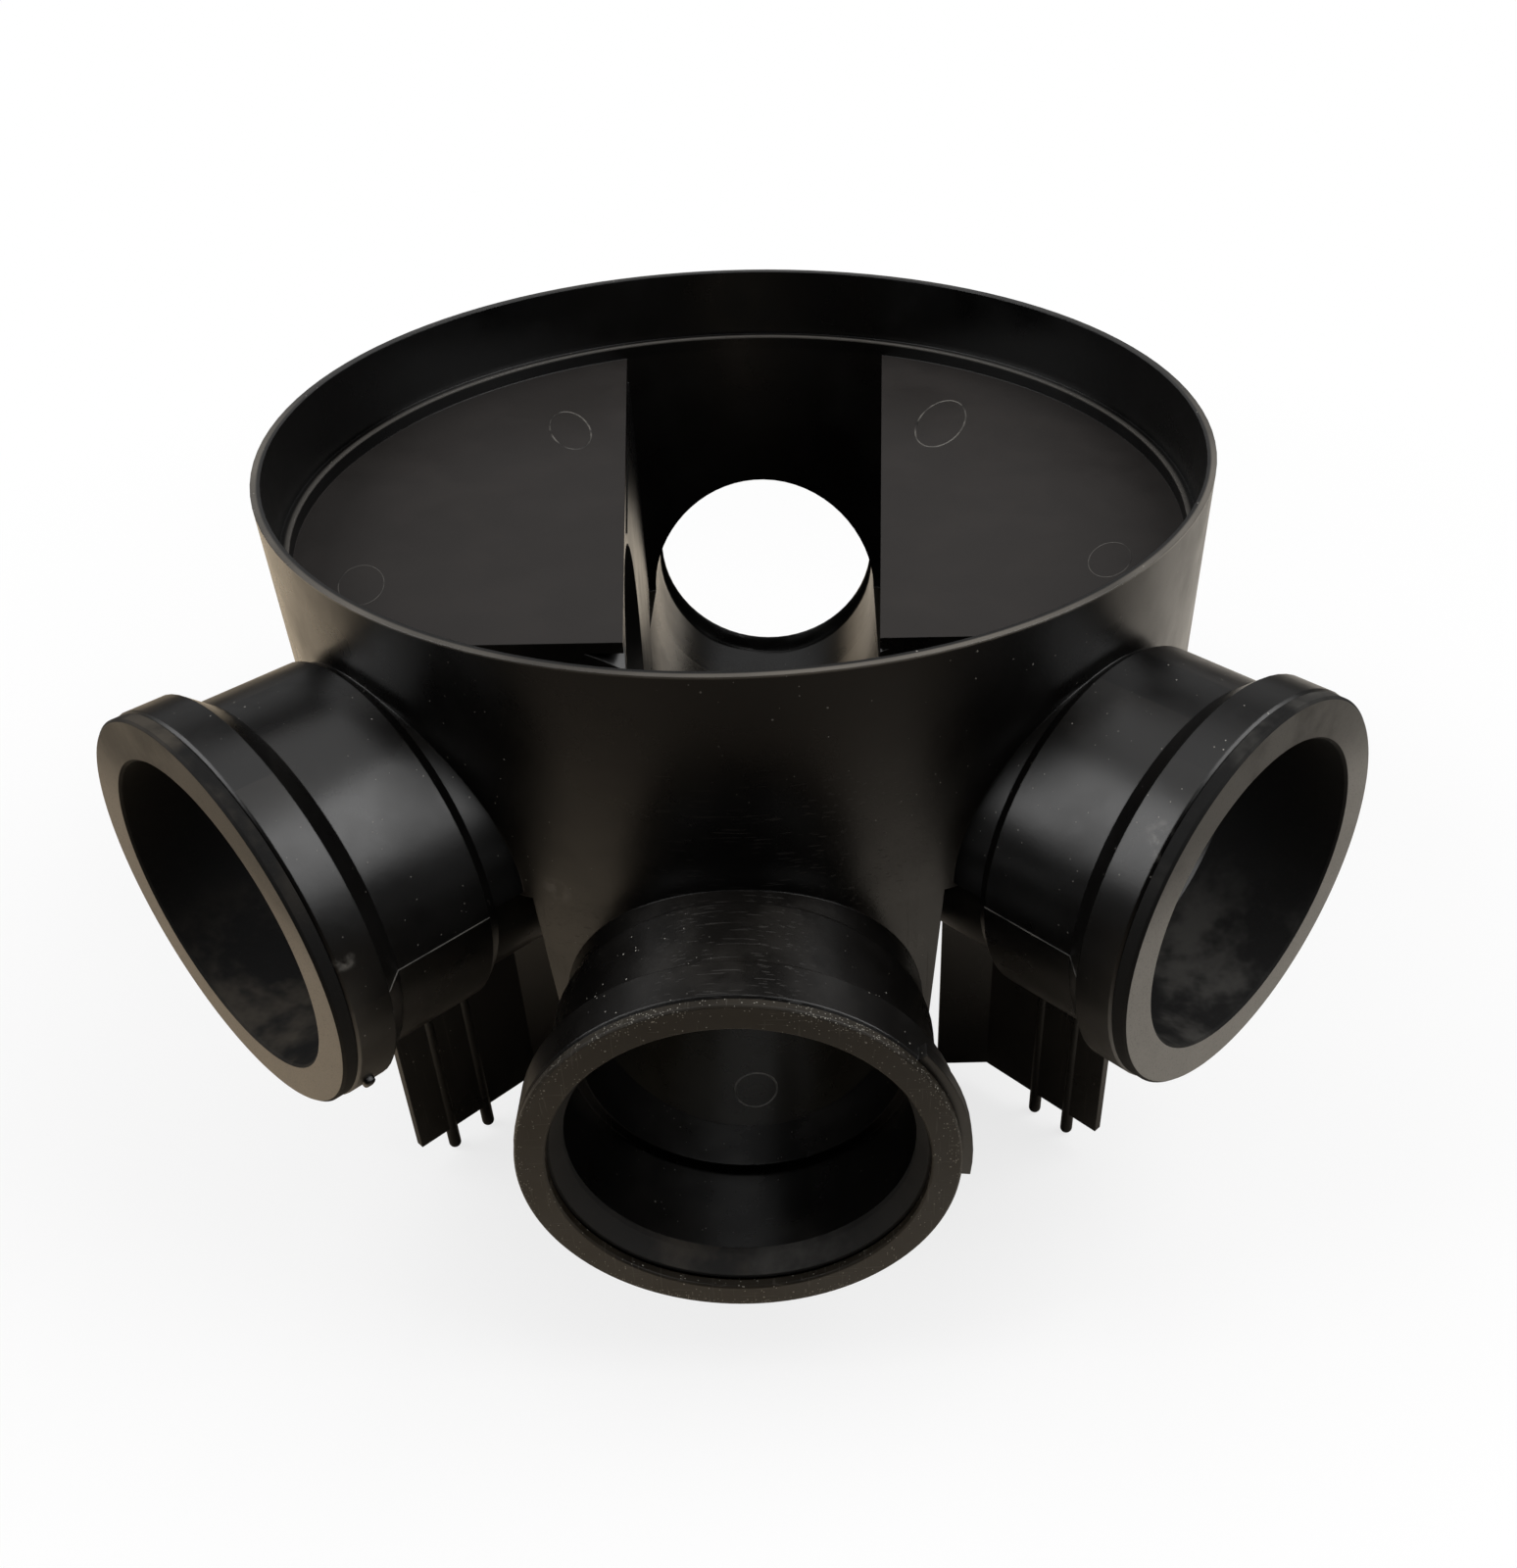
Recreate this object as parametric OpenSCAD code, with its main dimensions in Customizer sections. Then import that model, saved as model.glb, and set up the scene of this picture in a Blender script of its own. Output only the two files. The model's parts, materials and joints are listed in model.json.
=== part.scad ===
// Base of a drain inspection chamber: a round drum with a riser socket on top, three ring-seal
// inlets and one plain outlet. The body is one moulding. The origin is the centre of the ledge
// that the riser pipe stands on, +Z is up, and the main channel runs along +Y to the outlet.

/* [Riser socket] */
// Bore of the socket that takes the riser pipe
riser_bore_d = 323; // [310:0.5:330]
// Depth of that socket, from the rim to the ledge
riser_depth = 26.5; // [18:0.5:50]
// Wall of the drum at the rim
rim_wall = 3.2; // [2.4:0.1:5]
// Width of the ledge that the riser pipe stands on
seat_w = 3.3; // [2:0.1:4.5]
// Draft of the outside of the drum, in degrees
drum_draft = 0.8; // [0:0.1:1.2]

/* [Benching] */
// Drop from the ledge to the top of the benching
bench_drop = 5.5; // [3:0.5:8]
// Thickness of the benching plate
bench_t = 4; // [3:0.5:6]
// Distance of the benching's front edge from the drum's axis
bench_front = 91; // [84:1:100]
// How far each side of the slot stands outside the channel at the back wall
slot_back_side = 4; // [1:0.5:8]
// How far each side of the slot stands inside the channel at the front edge
slot_front_side = 11; // [4:0.5:15]
// Sideways offset of the slot at the front edge
slot_front_shift = 5; // [0:0.5:7]

/* [Pipes] */
// Outer diameter of the pipes that the inlets take, and of the outlet
pipe_d = 110; // [108:0.5:112]
// Radial clearance of a pipe in its socket
pipe_gap = 0.5; // [0.3:0.1:0.8]
// How much smaller the radius of the channels is than that of the pipes
pipe_step = 3; // [2.4:0.1:4]

/* [Channels] */
// Wall of the channels
channel_wall = 3.5; // [2.5:0.1:4.5]
// Plate left over the crowns of the branch channels
crown_cover = 2; // [1.5:0.1:4]
// Rise of the branch inlets' axes above the main inlet's axis
branch_rise = 47.5; // [40:0.5:50]
// Fall of the main channel from its inlet to the outlet
outlet_fall = 12; // [4:0.5:16]
// Level length of the channel before the outlet
outlet_level = 14; // [8:1:30]
// Angle between the main inlet and each branch inlet
branch_angle = 45; // [44:0.5:48]

/* [Sockets] */
// How far the face of the main inlet stands out from the drum's inner wall
main_out = 64.3; // [60:0.1:75]
// How far the face of a branch inlet stands out from the drum's inner wall
branch_out = 66.8; // [62:0.1:75]
// How far the end of the outlet stands out from the drum's inner wall
outlet_out = 34.8; // [26:0.1:60]
// How much larger the radius of the outlet's root is than that of the outlet
outlet_root = 2; // [1:0.1:3.5]
// How far that root stands out from the drum's inner wall
root_out = 8; // [7:0.5:14]
// Depth of an inlet socket, from its face to the pipe stop
socket_depth = 46.5; // [40:0.5:50]
// Wall of the socket barrel
barrel_wall = 5; // [4:0.1:6]
// How much smaller the radius of the arched neck is than that of the barrel
neck_step = 2.3; // [1:0.1:3.5]
// Length of the cone that closes the barrel's back end
neck_cone = 4.2; // [2:0.1:5]
// How much deeper a branch socket is than the main one
branch_deeper = 7.5; // [6:0.5:9]
// Wall of the collar around a seal's housing
collar_wall = 5; // [4:0.1:6]
// How much longer the collar is than the housing
collar_back = 3; // [2:0.1:5]
// Length of the cone between the collar and the barrel
collar_cone = 7; // [4:0.5:9]
// Bevel of the collar's front edge, and of the outlet's end
collar_edge = 1; // [0.5:0.1:1.5]

/* [Tab on the main collar] */
// How far the tab stands out from the collar
tab_out = 2.8; // [1.5:0.1:4]
// Thickness of the tab along the pipe
tab_t = 5; // [3:0.5:8]
// Upper end of the tab, in degrees above the pipe's side
tab_top = 38; // [30:1:50]
// Lower end of the tab, in degrees below the pipe's side
tab_bottom = 7; // [4:1:12]

/* [Seals] */
// Depth of the housing, from the socket's face
housing_depth = 14.5; // [13:0.5:17]
// How much larger the radius of the housing is than that of the socket's bore
housing_step = 6; // [5:0.1:7]
// Gap between a seal and its housing
seal_gap = 0.1; // [0.05:0.05:0.3]
// How far the flanges stay inside the collar's outline
flange_inset = 0.5; // [0.2:0.1:1.5]
// Thickness of the band of a seal in its housing
band_t = 3; // [2.4:0.1:3.6]
// Thickness of a branch seal's flange
flange_t = 4.5; // [3.5:0.1:6]
// Bevel of a branch seal's flange
flange_edge = 0.8; // [0.4:0.1:1.2]
// Fillet between the flange of a branch seal and its band
flange_root = 2.5; // [1:0.1:3.2]
// Depth that a branch seal's sleeve reaches, from the socket's face
sleeve_len = 42; // [36:0.5:44]
// Wall of that sleeve
sleeve_t = 2; // [1.5:0.1:2.5]
// How much smaller the radius of a branch seal is than that of the pipe
branch_bite = 2.6; // [1.5:0.1:3.5]
// How much smaller the radius of the main seal's lip is than that of the pipe
main_bite = 2; // [1.5:0.1:3]
// Length of that lip's cylindrical land
lip_land = 2.4; // [1.5:0.1:4]
// Distance of that land from the bottom of the housing
lip_back = 1.9; // [1.4:0.1:3]
// Radial flare of the lip towards the face
lip_flare = 3.2; // [2:0.1:4]
// Thickness of the lip
lip_t = 1.2; // [0.8:0.1:1.4]
// Gap between the lip and the retaining ring
lip_gap = 1.2; // [0.8:0.1:2]

/* [Retaining ring] */
// Thickness of the retaining ring's flange
ring_t = 3; // [2.4:0.1:4]
// Radial clearance of the pipe in the retaining ring
ring_clear = 1.9; // [1:0.1:3]
// Length of the ring's spigot in the housing
spigot_len = 3; // [2:0.1:4]
// Wall of that spigot
spigot_t = 1.6; // [1.2:0.1:2]
// Bevel of the ring's edges
ring_edge = 0.6; // [0.3:0.1:1]

/* [Skirts and supports] */
// How far the skirts reach past the barrel on each side, at the top
skirt_side = 3.9; // [2:0.1:6]
// How much narrower each side of a skirt is at the bottom
skirt_taper = 4.1; // [2:0.1:6]
// Depth of the skirts below the axis of the pipe that they carry
skirt_drop = 7; // [2:0.5:12]
// Thickness of the support webs
web_t = 3.2; // [2.4:0.1:4.5]
// How far the webs start inside the drum's inner wall
web_inset = 31.7; // [28:0.1:36]
// How far the webs reach outside the drum's inner wall
web_outset = 22.3; // [18:0.1:28]
// Depth of the webs below the main inlet's collar
web_drop = 25.5; // [18:0.5:32]
// Diameter of the feet
foot_d = 4.6; // [3.6:0.1:6]
// Length of the feet below the webs
foot_len = 11.5; // [8:0.5:16]
// Distance of the inner foot inside the drum's inner wall
foot_inset = 7.2; // [4:0.1:12]
// Distance from the inner foot to the outer foot
foot_step = 15.5; // [10:0.5:20]
// Reach of the cross plates towards the middle of the drum
cross_reach = 20; // [14:0.5:24]
// How much nearer the drum's axis the back support stands than the branch supports
back_shift = 22; // [18:0.5:28]

/* [Hidden] */
$fn = 128;
over = 2;
black = [0.07, 0.07, 0.07];
rubber = [0.16, 0.16, 0.16];
riser_r = riser_bore_d / 2;
rim_r = riser_r + rim_wall;
drum_r = riser_r - seat_w;
pipe_r = pipe_d / 2;
bore_r = pipe_r + pipe_gap;
barrel_r = bore_r + barrel_wall;
neck_r = barrel_r - neck_step;
branch_bore_r = bore_r + sleeve_t;
housing_r = bore_r + housing_step;
collar_r = housing_r + collar_wall;
flange_r = collar_r - flange_inset;
seal_r = housing_r - seal_gap;
channel_r = pipe_r - pipe_step;
shell_r = channel_r + channel_wall;
bench_z = -bench_drop;
branch_z = bench_z - crown_cover - channel_r;
main_z = branch_z - branch_rise;
outlet_z = main_z - outlet_fall;
web_z = main_z - collar_r - web_drop;
drum_z = branch_z - channel_wall / 2;
drum_bottom_r = rim_r - (riser_depth - drum_z) * tan(drum_draft);
main_reach = drum_r + main_out;
branch_reach = drum_r + branch_out;
outlet_reach = drum_r + outlet_out;
stop_main = main_reach - socket_depth;
stop_branch = branch_reach - socket_depth - branch_deeper;
fall_angle = atan(outlet_fall / (stop_main + drum_r));

// Places a shape whose axis is +Z along a pipe that leaves the drum: 0 is the main inlet.
module along(angle, z) {
    translate([0, 0, z]) rotate([0, 0, angle]) rotate([90, 0, 0]) children();
}

// A bar of the main channel, which falls from the main inlet's stop to the outlet.
module sloped(r) {
    translate([0, -stop_main, main_z]) rotate([-90 - fall_angle, 0, 0])
        cylinder(r = r, h = (stop_main + drum_r) / cos(fall_angle));
}

// Everything above the sloping axis plane of the main channel.
module above_fall() {
    translate([0, -stop_main, main_z]) rotate([-fall_angle, 0, 0])
        translate([-riser_r, -over, 0]) cube([2 * riser_r, 2 * main_reach, -2 * main_z]);
}

// Outline of the slot over the main channel, wider all round by grow.
module slot_outline(grow) {
    back = channel_r + slot_back_side + grow;
    front = channel_r - slot_front_side + grow;
    polygon([
        [-back, drum_r + over], [back, drum_r + over],
        [slot_front_shift + front, -bench_front], [slot_front_shift - front, -bench_front]
    ]);
}

// Outline of the water way: the slot, and the open part in front of the benching.
module way_outline(grow) {
    slot_outline(grow);
    translate([-channel_r - grow, -stop_main]) square([2 * (channel_r + grow), stop_main - bench_front]);
}

// The drum as a plain body of revolution, with its drafted outside.
module drum_block() {
    rotate_extrude()
        polygon([[0, drum_z], [drum_bottom_r, drum_z], [rim_r, riser_depth], [0, riser_depth]]);
}

// A skirt carries the drum's wall down beside the main channel.
module skirt(angle, bottom) {
    top_w = barrel_r + skirt_side;
    bottom_w = top_w - skirt_taper;
    difference() {
        intersection() {
            translate([0, 0, bottom]) cylinder(r = drum_bottom_r, h = drum_z + over - bottom);
            rotate([0, 0, angle]) rotate([90, 0, 0]) linear_extrude(rim_r)
                polygon([
                    [-bottom_w, bottom], [bottom_w, bottom],
                    [top_w, drum_z + over], [-top_w, drum_z + over]
                ]);
        }
        translate([0, 0, bottom - over]) cylinder(r = drum_r, h = drum_z - bottom + 3 * over);
    }
}

// Outside of the main channel, inside the drum.
module main_shell() {
    intersection() {
        union() {
            sloped(shell_r);
            intersection() {
                translate([0, 0, main_z - shell_r]) linear_extrude(bench_z - main_z + shell_r)
                    way_outline(channel_wall);
                translate([0, 0, -channel_wall]) above_fall();
            }
        }
        translate([0, 0, outlet_z - shell_r - over])
            cylinder(r = drum_r + over / 2, h = bench_z - outlet_z + shell_r + over);
    }
}

// Outside of a branch channel, inside the drum: round below its axis, square above it.
module branch_shell(angle) {
    along(angle, branch_z) {
        cylinder(r = shell_r, h = stop_branch);
        translate([-shell_r, 0, 0]) cube([2 * shell_r, bench_z - branch_z, drum_r]);
    }
}

// Outside of an inlet socket: arched neck, barrel, cone and collar.
module socket_block(reach, stop, face_t) {
    start = stop - channel_wall;
    collar_len = housing_depth + collar_back;
    rotate_extrude()
        polygon([
            [0, start - neck_cone], [neck_r - over / 4, start - neck_cone], [barrel_r, start],
            [barrel_r, reach - collar_len - collar_cone], [collar_r, reach - collar_len],
            [collar_r, reach - face_t - collar_edge], [collar_r - collar_edge, reach - face_t],
            [0, reach - face_t]
        ]);
    intersection() {
        cylinder(r = neck_r, h = stop);
        translate([-neck_r, 0, drum_r / 2]) cube([2 * neck_r, neck_r, reach]);
    }
    cylinder(r = shell_r, h = stop);
}

// Outside of the outlet, with a root that runs back through the drum's curved wall.
module outlet_block() {
    root_r = pipe_r + outlet_root;
    start = sqrt(drum_r * drum_r - root_r * root_r) - over;
    rotate_extrude()
        polygon([
            [0, start], [root_r, start], [root_r, drum_r + root_out], [pipe_r, drum_r + root_out],
            [pipe_r, outlet_reach - 2 * collar_edge], [pipe_r - collar_edge, outlet_reach],
            [0, outlet_reach]
        ]);
}

// Bore of an inlet socket, with its pipe stop and the housing of its seal.
module socket_bore(reach, stop, r) {
    rotate_extrude()
        polygon([
            [0, drum_r / 2], [channel_r, drum_r / 2], [channel_r, stop], [r, stop],
            [r, reach - housing_depth], [housing_r, reach - housing_depth],
            [housing_r, reach + over], [0, reach + over]
        ]);
}

// Tab on one side of the main inlet's collar, behind the retaining ring.
module collar_tab() {
    wedge = 2 * collar_r;
    intersection() {
        translate([0, 0, main_reach - ring_t - tab_t]) difference() {
            cylinder(r = collar_r + tab_out, h = tab_t);
            translate([0, 0, -over]) cylinder(r = housing_r + collar_wall / 2, h = tab_t + 2 * over);
        }
        linear_extrude(main_reach) polygon([
            [0, 0], [wedge * cos(tab_bottom), -wedge * sin(tab_bottom)],
            [wedge, 0], [wedge * cos(tab_top), wedge * sin(tab_top)]
        ]);
    }
}

// A radial web with two feet under a pipe, in the pipe's own plane.
module support(angle, z, shift) {
    top = z - channel_r - channel_wall / 2;
    rotate([0, 0, angle]) translate([0, shift - drum_r, 0]) {
        translate([-web_t / 2, -web_outset, web_z]) cube([web_t, web_outset + web_inset, top - web_z]);
        for (s = [foot_inset, foot_inset - foot_step]) translate([0, s, 0]) foot(top);
    }
}

// A round foot with a domed tip.
module foot(top) {
    tip = web_z - foot_len + foot_d / 2;
    translate([0, 0, tip]) cylinder(d = foot_d, h = top - tip);
    translate([0, 0, tip]) sphere(d = foot_d);
}

// A cross plate that joins a branch web's inner edge.
module cross_plate(side) {
    x = (drum_r - web_inset) * sin(branch_angle);
    y = -(drum_r - web_inset) * cos(branch_angle);
    top = branch_z - channel_r + channel_wall / 2;
    translate([side > 0 ? x - cross_reach : -x, y - web_t / 2, web_z])
        cube([cross_reach, web_t, top - web_z]);
}

// Everything solid, before the water ways are cut.
module body_block() {
    difference() {
        drum_block();
        // open underside of the benching
        difference() {
            translate([0, 0, drum_z - over]) cylinder(r = drum_r, h = bench_z - bench_t - drum_z + over);
            translate([-riser_r, -riser_r - over, drum_z - 2 * over])
                cube([2 * riser_r, riser_r + over - bench_front, channel_wall + 2 * over]);
        }
    }
    skirt(0, main_z - skirt_drop);
    skirt(180, outlet_z - skirt_drop);
    intersection() {
        union() {
            main_shell();
            for (a = [-branch_angle, branch_angle]) branch_shell(a);
        }
        translate([0, 0, outlet_z - 2 * shell_r]) cylinder(r = drum_r + over / 2, h = -2 * main_z);
    }
    along(0, main_z) {
        socket_block(main_reach, stop_main, ring_t);
        collar_tab();
    }
    for (a = [-branch_angle, branch_angle])
        along(a, branch_z) socket_block(branch_reach, stop_branch, flange_t);
    along(180, outlet_z) outlet_block();
    for (a = [-branch_angle, branch_angle]) support(a, branch_z, 0);
    support(180, outlet_z, back_shift);
    cross_plate(-1);
    cross_plate(1);
}

// Everything that holds water or a pipe.
module water_ways() {
    // riser socket, and the drum down to the benching
    cylinder(r = riser_r, h = riser_depth + over);
    translate([0, 0, bench_z]) cylinder(r = drum_r, h = bench_drop + over);
    // open part in front of the benching
    intersection() {
        translate([0, 0, drum_z + channel_wall]) cylinder(r = drum_r, h = -drum_z);
        translate([-riser_r, -riser_r, drum_z]) cube([2 * riser_r, riser_r - bench_front, -drum_z + over]);
    }
    // main channel, open above its sloping axis plane
    intersection() {
        union() {
            sloped(channel_r);
            above_fall();
        }
        translate([0, 0, outlet_z - channel_r - over])
            linear_extrude(channel_r + over - outlet_z) way_outline(0);
        translate([0, 0, outlet_z - channel_r - over])
            cylinder(r = drum_r, h = channel_r + over - outlet_z);
    }
    for (a = [-branch_angle, branch_angle]) along(a, branch_z) {
        cylinder(r = channel_r, h = stop_branch);
        socket_bore(branch_reach, stop_branch, branch_bore_r);
    }
    along(0, main_z) translate([0, 0, drum_r - over]) cylinder(r = channel_r, h = over);
    along(0, main_z) socket_bore(main_reach, stop_main, bore_r);
    along(180, outlet_z) translate([0, 0, drum_r - outlet_level])
        cylinder(r = channel_r, h = outlet_out + outlet_level + over);
}

module chamber_body() {
    color(black) difference() {
        body_block();
        water_ways();
    }
}

// Ring that closes the main inlet's housing and holds its seal.
module front_retaining_ring() {
    r = pipe_r + ring_clear;
    clip = seal_r - spigot_t;
    spigot = -ring_t - spigot_len;
    color(rubber) along(0, main_z) translate([0, 0, main_reach]) rotate_extrude()
        polygon([
            [r, -ring_t], [r, -ring_edge], [r + ring_edge, 0], [flange_r - ring_edge, 0],
            [flange_r, -ring_edge], [flange_r, -ring_t], [seal_r, -ring_t], [seal_r, spigot],
            [clip, spigot], [clip, -ring_t]
        ]);
}

// Lip seal of the main inlet, behind the retaining ring.
module front_seal() {
    lip = pipe_r - main_bite;
    root = lip + lip_flare + lip_t;
    back = -housing_depth;
    land = back + lip_back + lip_land;
    front = -ring_t - spigot_len - seal_gap;
    color(rubber) along(0, main_z) translate([0, 0, main_reach]) rotate_extrude()
        polygon([
            [lip, land], [lip + lip_flare, -ring_t - lip_gap], [root, -ring_t - lip_gap],
            [seal_r - band_t, front], [seal_r, front], [seal_r, back], [seal_r - band_t, back],
            [root, land], [lip + lip_t, back + lip_t], [lip, back + lip_back]
        ]);
}

// One-piece seal of a branch inlet, with its wide flange and its long sleeve.
module branch_seal(angle) {
    lip = pipe_r - branch_bite;
    color(rubber) along(angle, branch_z) translate([0, 0, branch_reach]) rotate_extrude()
        polygon([
            [lip, -flange_t], [lip, -flange_edge], [lip + flange_edge, 0],
            [flange_r - flange_edge, 0], [flange_r, -flange_edge], [flange_r, -flange_t],
            [seal_r, -flange_t], [seal_r, -housing_depth], [seal_r - band_t, -housing_depth],
            [seal_r - band_t, -flange_t - flange_root], [seal_r - band_t - flange_root, -flange_t],
            [lip + sleeve_t, -flange_t], [lip + sleeve_t, -sleeve_len], [lip, -sleeve_len]
        ]);
}

module left_seal() {
    branch_seal(-branch_angle);
}

module right_seal() {
    branch_seal(branch_angle);
}

chamber_body();
front_retaining_ring();
front_seal();
left_seal();
right_seal();
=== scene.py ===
import json
import math

import bmesh
import bpy
from mathutils import Matrix, Vector


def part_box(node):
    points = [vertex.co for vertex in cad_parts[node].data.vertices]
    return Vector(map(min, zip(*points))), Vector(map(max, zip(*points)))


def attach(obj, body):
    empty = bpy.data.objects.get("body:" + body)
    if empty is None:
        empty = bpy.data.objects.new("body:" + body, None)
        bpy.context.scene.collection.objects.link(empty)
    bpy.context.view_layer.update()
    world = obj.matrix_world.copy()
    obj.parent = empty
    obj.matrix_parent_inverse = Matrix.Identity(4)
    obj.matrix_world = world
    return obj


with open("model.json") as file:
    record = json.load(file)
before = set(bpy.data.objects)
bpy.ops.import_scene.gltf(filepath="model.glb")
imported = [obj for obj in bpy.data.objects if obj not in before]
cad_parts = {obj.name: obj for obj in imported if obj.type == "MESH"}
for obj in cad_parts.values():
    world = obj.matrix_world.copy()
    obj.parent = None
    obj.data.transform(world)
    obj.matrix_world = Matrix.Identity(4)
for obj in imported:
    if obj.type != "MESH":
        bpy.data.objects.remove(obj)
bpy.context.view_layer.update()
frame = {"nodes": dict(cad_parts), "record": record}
mounts = {m["name"]: m for m in frame["record"]["mounts"]}
print("frame loaded:", sorted(frame["nodes"]))

# what the record doesn't hold: how far one wall lies from another, in metres
walls = {
    "collar": 0.0005,     # from the retaining ring out to the collar
    "barrel": 0.0055,     # from the pipe out to the barrel of a socket
    "channel": 0.0030,    # from the pipe in to the channel
    "drum": 0.0033,       # from the riser's socket in to the drum
    "bench": 0.0055,      # from the ledge down to the benching
    "branch": 0.0025,     # how far the branches reach out past the main inlet
    "socket": 0.0465,     # from the main inlet's face in to the start of the channel
}

# sizes that the pieces share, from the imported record
pipeRadius = mounts["outlet"]["dims"]["r_mm"] / 1000
riserRadius = mounts["riser_socket"]["dims"]["r_mm"] / 1000
rimZ = mounts["rim"]["pos_m"][2]
mainZ = mounts["main_inlet"]["pos_m"][2]
branchZ = mounts["left_inlet"]["pos_m"][2]
outletZ = mounts["outlet"]["pos_m"][2]
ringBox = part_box("front_retaining_ring")
mainFace = -ringBox[0].y
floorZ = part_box("chamber_body")[0].z
collarRadius = ringBox[1].x + walls["collar"]
barrelRadius = pipeRadius + walls["barrel"]
channelRadius = pipeRadius - walls["channel"]
drumRadius = riserRadius - walls["drum"]
benchZ = -walls["bench"]
branchFace = mainFace + walls["branch"]
channelStart = mainFace - walls["socket"]
branchTurns = {"left": -45.0, "right": 45.0}    # degrees from the main inlet


class shade:
    # one output of a shader node, so that masks can be written as sums and products
    def __init__(self, nodes, socket):
        self.nodes = nodes
        self.socket = socket

    def maths(self, operation, *values):
        return self.nodes.node("ShaderNodeMath", {"operation": operation}, dict(enumerate(values)))

    def __add__(self, other):
        return self.maths("ADD", self, other)

    def __radd__(self, other):
        return self.maths("ADD", other, self)

    def __sub__(self, other):
        return self.maths("SUBTRACT", self, other)

    def __rsub__(self, other):
        return self.maths("SUBTRACT", other, self)

    def __mul__(self, other):
        return self.maths("MULTIPLY", self, other)

    def __rmul__(self, other):
        return self.maths("MULTIPLY", other, self)

    def __truediv__(self, other):
        return self.maths("DIVIDE", self, other)

    def __gt__(self, other):
        return self.maths("GREATER_THAN", self, other)

    def __lt__(self, other):
        return self.maths("LESS_THAN", self, other)

    def __abs__(self):
        return self.maths("ABSOLUTE", self)

    def power(self, other):
        return self.maths("POWER", self, other)

    def least(self, other):
        return self.maths("MINIMUM", self, other)

    def other(self, output):
        # another output of the same node
        return shade(self.nodes, self.socket.node.outputs[output])


def between(ends, amount):
    # runs from the first number to the second while the amount goes from 0 to 1
    return ends[0] + (ends[1] - ends[0]) * amount


def fromAxis(a, b):
    return (a * a + b * b).power(0.5)


class nodeSet:
    # the nodes of one material or of the world, and the one way to add to them
    def __init__(self, owner, outputKind):
        owner.use_nodes = True
        self.tree = owner.node_tree
        self.tree.nodes.clear()
        self.output = self.tree.nodes.new(outputKind)

    def plug(self, socket, value):
        if isinstance(value, shade):
            self.tree.links.new(value.socket, socket)
        elif socket.type == "RGBA":
            socket.default_value = (*value, 1.0)
        else:
            socket.default_value = value

    def node(self, kind, settings=None, inputs=None, output=0):
        made = self.tree.nodes.new(kind)
        for key, value in (settings or {}).items():
            setattr(made, key, value)
        for key, value in (inputs or {}).items():
            self.plug(made.inputs[key], value)
        return shade(self, made.outputs[output])

    def show(self, shader):
        self.plug(self.output.inputs["Surface"], shader)


class finish(nodeSet):
    # a material with one Principled shader, and the patterns and masks that feed it
    def __init__(self, name):
        self.material = bpy.data.materials.new(name)
        super().__init__(self.material, "ShaderNodeOutputMaterial")
        self.principled = self.node("ShaderNodeBsdfPrincipled")
        self.show(self.principled)
        self.place = self.node("ShaderNodeTexCoord", output="Object")
        self.x, self.y, self.z = self.parts(self.place)
        facing = self.node("ShaderNodeNewGeometry", output="Normal")
        self.across, self.along, self.up = self.parts(facing)

    def parts(self, vector):
        split = self.node("ShaderNodeSeparateXYZ", inputs={"Vector": vector})
        return [split.other(axis) for axis in "XYZ"]

    def noise(self, scale, detail=2.0, roughness=0.5, place=None):
        return self.node("ShaderNodeTexNoise", inputs={
            "Vector": place or self.place, "Scale": scale,
            "Detail": detail, "Roughness": roughness})

    def band(self, value, reach, ends):
        return self.node("ShaderNodeMapRange", {"interpolation_type": "SMOOTHSTEP"}, {
            "Value": value, "From Min": reach[0], "From Max": reach[1],
            "To Min": ends[0], "To Max": ends[1]})

    def rise(self, value, reach):
        return self.band(value, reach, (0.0, 1.0))

    def fade(self, value, reach):
        return self.band(value, reach, (1.0, 0.0))

    def patches(self, scale, detail, reach, roughness=0.5):
        return self.rise(self.noise(scale, detail, roughness), reach)

    def specks(self, scale, size, share):
        # small round grains: one cell in so many holds a grain
        cell = self.node("ShaderNodeTexVoronoi", inputs={"Vector": self.place, "Scale": scale})
        tint = self.node("ShaderNodeSeparateColor", inputs={"Color": cell.other("Color")})
        return (cell.other("Distance") < size) * (tint > 1.0 - share)

    def scratches(self, scale, turn, reach):
        # short thin streaks: the peaks of a noise that is drawn out one way
        drawn = self.node("ShaderNodeMapping", inputs={
            "Vector": self.place, "Scale": scale, "Rotation": turn})
        return self.rise(self.noise(1.0, 1.0, place=drawn), reach)

    def around(self, point, radius, core=0.35):
        # a round spot: 1 out to its core, and 0 past its radius
        away = self.node("ShaderNodeVectorMath", {"operation": "DISTANCE"},
                         {0: self.place, 1: point}, "Value")
        return self.fade(away, (core * radius, radius))

    def mixed(self, amount, first, second):
        # a Mix node has sockets of every type: 0, 6 and 7, and 2 going out, are those of colours
        return self.node("ShaderNodeMix", {"data_type": "RGBA"},
                         {0: amount, 6: first, 7: second}, 2)

    def coated(self, colour, coats):
        # lays one colour after another over the first, each where its mask is
        for mask, coat in coats:
            colour = self.mixed(mask, colour, coat)
        return colour

    def rounded(self, radius, samples=4):
        return self.node("ShaderNodeBevel", {"samples": samples}, {"Radius": radius})

    def relief(self, height, depth, under=None):
        inputs = {"Height": height, "Distance": depth, "Strength": 1.0}
        if under:
            inputs["Normal"] = under
        return self.node("ShaderNodeBump", inputs=inputs)

    def surface(self, inputs):
        for name, value in inputs.items():
            self.plug(self.principled.socket.node.inputs[name], value)
        return self.material


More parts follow.
